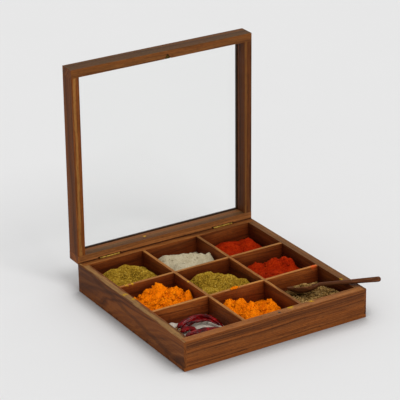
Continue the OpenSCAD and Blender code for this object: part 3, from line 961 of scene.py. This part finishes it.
# What wood() is told about each board
BOARDS = {
    "base_board": dict(
        grain="x", pith=(-60, -30), tone=1.05,
        faces=[(FORWARD, WOOD_ORANGE, 0.8)],
    ),
    "front_wall": dict(
        grain="x", pith=(-60, -164), tilt=0.02, tone=1.08,
        faces=[(UP, WOOD_TAN, 0.8)],
        streaks=[(FORWARD, (0.03, 0, 1), 26, 3.0, WOOD_BLACK, 0.3)],
        stains=[((21, -106, RIM), 7, TURMERIC_STAIN), ((48, -106, RIM), 5, TURMERIC_STAIN)],
    ),
    "back_wall": dict(
        grain="x", pith=(190, -120), tilt=0.1, tone=1.5, corners=CELL_CORNER_SHADE,
        faces=[(UP, WOOD_GOLD, 0.3), (FORWARD, WOOD_RED, 0.4)],
        # The black band along the seam on the top is a painted shadow line
        streaks=[(UP, ACROSS_Y, 113.6, 0.8, WOOD_BLACK, 1.0)],
    ),
    "left_wall": dict(
        # The tone of 0.95 darkens the whole wall; on its outer side, which looks away from the key light,
        # it is painted shade
        grain="y", pith=(-215, 0), tilt=0.05, tone=0.95,
        streaks=[
            (UP, (1, -0.006, 0), -110.8, 3.6, WOOD_STRAW, 0.85),
            (LEFTWARD, (0, -0.14, 1), 20, 3.0, WOOD_BLACK, 0.5),
        ],
        stains=[((-110, 17, RIM), 5, TURMERIC_STAIN), ((-108, 2, RIM), 4, TURMERIC_STAIN)],
    ),
    "right_wall": dict(
        grain="y", pith=(170, -20), tilt=-0.02, corners=CELL_CORNER_SHADE,
        faces=[(UP, WOOD_OLIVE, 0.6), (LEFTWARD, WOOD_RED, 0.6)],
        stains=[((106, -80, RIM), 4, TURMERIC_STAIN)],
    ),
    "front_row_divider": dict(
        grain="x", pith=(-90, -110), tilt=0.16, tone=1.85, corners=CELL_CORNER_SHADE, faces=CELL_WALL,
        stains=[((100, -35, RIM), 6, CHILLI_STAIN)],
    ),
    "back_row_divider": dict(
        grain="x", pith=(-20, 180), tilt=-0.12, tone=1.45, corners=CELL_CORNER_SHADE, faces=CELL_WALL,
        stains=[((-97, 36.6, RIM), 3.5, TURMERIC_STAIN), ((-90, 36.6, RIM), 3.5, TURMERIC_STAIN)],
    ),
    "left_column_divider": dict(
        grain="y", pith=(-90, -30), tilt=0.1, tone=1.5, corners=CELL_CORNER_SHADE, faces=CELL_WALL,
        stains=[((-36, 7, RIM), 3, TURMERIC_STAIN)],
    ),
    "right_column_divider": dict(
        grain="y", pith=(90, -50), tilt=-0.14, tone=1.35, corners=CELL_CORNER_SHADE, faces=CELL_WALL,
    ),
    "lid_front_rail": dict(
        grain="x", pith=(170, 300), tilt=0.01, tone=0.86,
        # The grey on the side that looks up is painted sheen from the light above
        faces=[(UP, SHEEN_GREY, 0.85), (FORWARD, WOOD_GOLD, 0.3)],
    ),
    "lid_back_rail": dict(
        grain="x", pith=(40, 120), tilt=0.01, tone=1.3, corners=LID_CORNER_SHADE,
        # The grey on the side that looks up is painted sheen from the light above
        faces=[(UP, SHEEN_GREY, 0.85), (FORWARD, WOOD_TAN, 0.8)],
        # The black band along the seam on this face is a painted shadow line
        streaks=[(FORWARD, ACROSS_Z, 34.4, 0.8, WOOD_BLACK, 1.0)],
        stains=[((-25, 122, LID_RIM), 3, TURMERIC_STAIN)],
    ),
    "lid_left_stile": dict(
        grain="z", pith=(-160, 160), tilt=0.01,
        faces=[(FORWARD, WOOD_ORANGE, 0.3), (LEFTWARD, WOOD_DARK, 0.4)],
        streaks=[(FORWARD, ACROSS_X, -111.4, 1.8, WOOD_GOLD, 1.0)],
    ),
    "lid_right_stile": dict(
        grain="z", pith=(150, 150), tilt=0.015, tone=0.68,
        faces=[(LEFTWARD, WOOD_DARK, 0.35)],
        streaks=[(FORWARD, ACROSS_X, 107.4, 1.4, WOOD_GOLD, 0.6)],
    ),
}


def paint_nodes():
    """Materials for the CAD parts that stay in view."""
    for name, look in BOARDS.items():
        paint(name, wood(name + "_wood", **look))
        ease_edges(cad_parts[name])
    bead = dark_wood("bead_wood", BEAD_BROWN)
    for side in ("front", "back", "left", "right"):
        paint(f"lid_{side}_bead", bead)
    metal = brass("aged_brass")
    for side in ("left", "right"):
        for part in ("lower_leaf", "upper_leaf", "pin"):
            paint(f"{side}_hinge_{part}", metal)
    for name in ("lower_hinge_screws", "upper_hinge_screws"):
        paint(name, metal)
    # The catch plate takes a copy of the brass darkened to about a fifth
    paint("catch_plate", brass("darkened_brass", 0.22))
    paint("catch_magnet", steel("magnet_steel"))
    paint("lid_glass", glass("clear_glass"))


def fill_cells():
    """Replaces the plain fillings, and adds the seeds in the spoon and the spilt turmeric."""
    green = spice("coriander_bits", [
        (0.0, (0.11, 0.060, 0.005)),
        (0.45, (0.36, 0.205, 0.016)),
        (0.85, (0.57, 0.37, 0.040)),
        (1.0, (0.72, 0.53, 0.14)),
    ], grain_size=0.8)
    white = spice("salt_grains", [
        (0.0, (0.38, 0.31, 0.19)),
        (0.5, (0.50, 0.43, 0.285)),
        (1.0, (0.68, 0.61, 0.44)),
    ], grain_size=0.7, depth=0.12)
    bed = spice("salt_bed", [
        (0.0, (0.36, 0.31, 0.25)),
        (0.5, (0.60, 0.54, 0.45)),
        (1.0, (0.80, 0.74, 0.64)),
    ], grain_size=0.7, depth=0.12)
    red = spice("chilli_dust", [
        (0.0, (0.085, 0.002, 0.0001)),
        (0.5, (0.335, 0.0145, 0.0004)),
        (1.0, (0.56, 0.050, 0.003)),
    ], grain_size=0.6, hollow_shade=0.5)
    orange = spice("turmeric_dust", [
        (0.0, (0.30, 0.060, 0.0)),
        (0.5, (1.0, 0.215, 0.0003)),
        (1.0, (1.0, 0.34, 0.004)),
    ], grain_size=0.9, hollow_shade=0.85)
    brown = spice("cumin_seeds", [
        (0.0, (0.035, 0.017, 0.004)),
        (0.5, (0.23, 0.118, 0.028)),
        (1.0, (0.52, 0.33, 0.12)),
    ], grain_size=0.9, rough=0.7)

    pieces = [
        coriander("coriander_back_left", Heap(LEFT, BACK, foot=16.5, seed=11, lump=0.8, mounds=[
            (1, 15, 32.5, 13), (9, 9, 31.5, 13), (-13, 18, 29.5, 12), (17, -1, 28.5, 11),
            (-20, 0, 26, 14),
        ]), green),
        coriander("coriander_middle", Heap(MIDDLE, MIDDLE, foot=16, seed=12, lump=0.8, mounds=[
            (-12, 19, 33, 12), (-4, 17, 34, 13), (4, 9, 33, 14), (15, 4, 31, 12), (25, -8, 28.5, 11),
            (-18, -6, 27, 12),
        ]), green),
        powder("salt_back_middle", Heap(MIDDLE, BACK, foot=16.5, seed=13, lump=1.2, lump_size=9, fine=0.15,
            mounds=[
                (-15, 19, 28.5, 12), (-6, 15, 29, 13), (3, 10, 29.5, 13), (12, 5, 29.5, 13),
                (20, 0, 29.5, 12), (26, -5, 31, 7), (-6, -6, 27, 14),
            ]), white, clod_count=60, clod_size=2.2),
        powder("chilli_powder_back_right", Heap(RIGHT, BACK, foot=16.5, seed=14, lump=1.2, lump_size=8,
            mounds=[
                (-5, 15, 25.5, 14), (14, 3, 30.5, 9), (-14, -8, 23, 14),
            ]), red, clod_count=130, clod_size=1.5),
        powder("turmeric_middle_left", Heap(LEFT, MIDDLE, foot=18, seed=15, lump=2.6, lump_size=8,
            fine=1.1, fine_size=2.4, mounds=[
                (5, 17, 37.5, 10), (-5, 22, 31, 9), (20, 7, 32.5, 10), (29, -3, 32, 5), (0, -6, 28, 14),
            ]), orange, clod_count=340, clod_size=2.0),
        powder("chilli_powder_middle_right", Heap(RIGHT, MIDDLE, foot=18, seed=16, lump=1.3, lump_size=8,
            mounds=[
                (8, 11, 32, 10), (18, 6, 34, 8), (23, 1, 32.5, 6), (-8, 21, 26, 9), (-2, -8, 26, 14),
            ]), red, clod_count=150, clod_size=1.8),
        powder("turmeric_front_middle", Heap(MIDDLE, FRONT, foot=13.5, seed=17, lump=1.7, lump_size=6,
            fine=1.4, fine_size=2.4, mounds=[
                (-17, 23, 30.5, 10), (-8, 17, 31.5, 11), (1, 10, 28.5, 9), (19, 0, 29.5, 10),
                (-6, -4, 25, 14),
            ]), orange, clod_count=340, clod_size=1.9),
        powder("salt_front_left", Heap(LEFT, FRONT, foot=15, seed=18, lump=1.0, lump_size=8, mounds=[
            (-17, 27, 20.5, 6), (8, 4, 20, 13), (12, -8, 19, 8),
        ]), bed, clod_count=60, clod_size=1.8),
        cumin("cumin_front_right", Heap(RIGHT, FRONT, foot=16, seed=19, mounds=[
            (19, -10, 25.5, 13), (-15, -15, 22.5, 13), (2, -20, 23, 12),
        ]), brown),
        chillies(chilli_skin("chilli_skin"), dark_wood("chilli_stalk", STALK_BROWN)),
    ]
    for piece in pieces:
        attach(piece, "box")
    spoonful(brown)
    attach(spilt_turmeric(orange), "box")


def add_floor():
    """One wide, flat sheet just under the box."""
    size = FLOOR_SIZE
    corners = [(-size, -size, 0), (size, -size, 0), (size, size, 0), (-size, size, 0)]
    floor = add_mesh("floor", corners, [(0, 1, 2, 3)], [floor_paint("floor_paint")], smooth=False)
    floor.location.z = cad_bounds[0].z - FLOOR_GAP * MM


add_camera()
add_light()
paint_nodes()
fill_cells()
spoon(dark_wood("spoon_wood", SPOON_BROWN, spoon_turn().col))
add_floor()
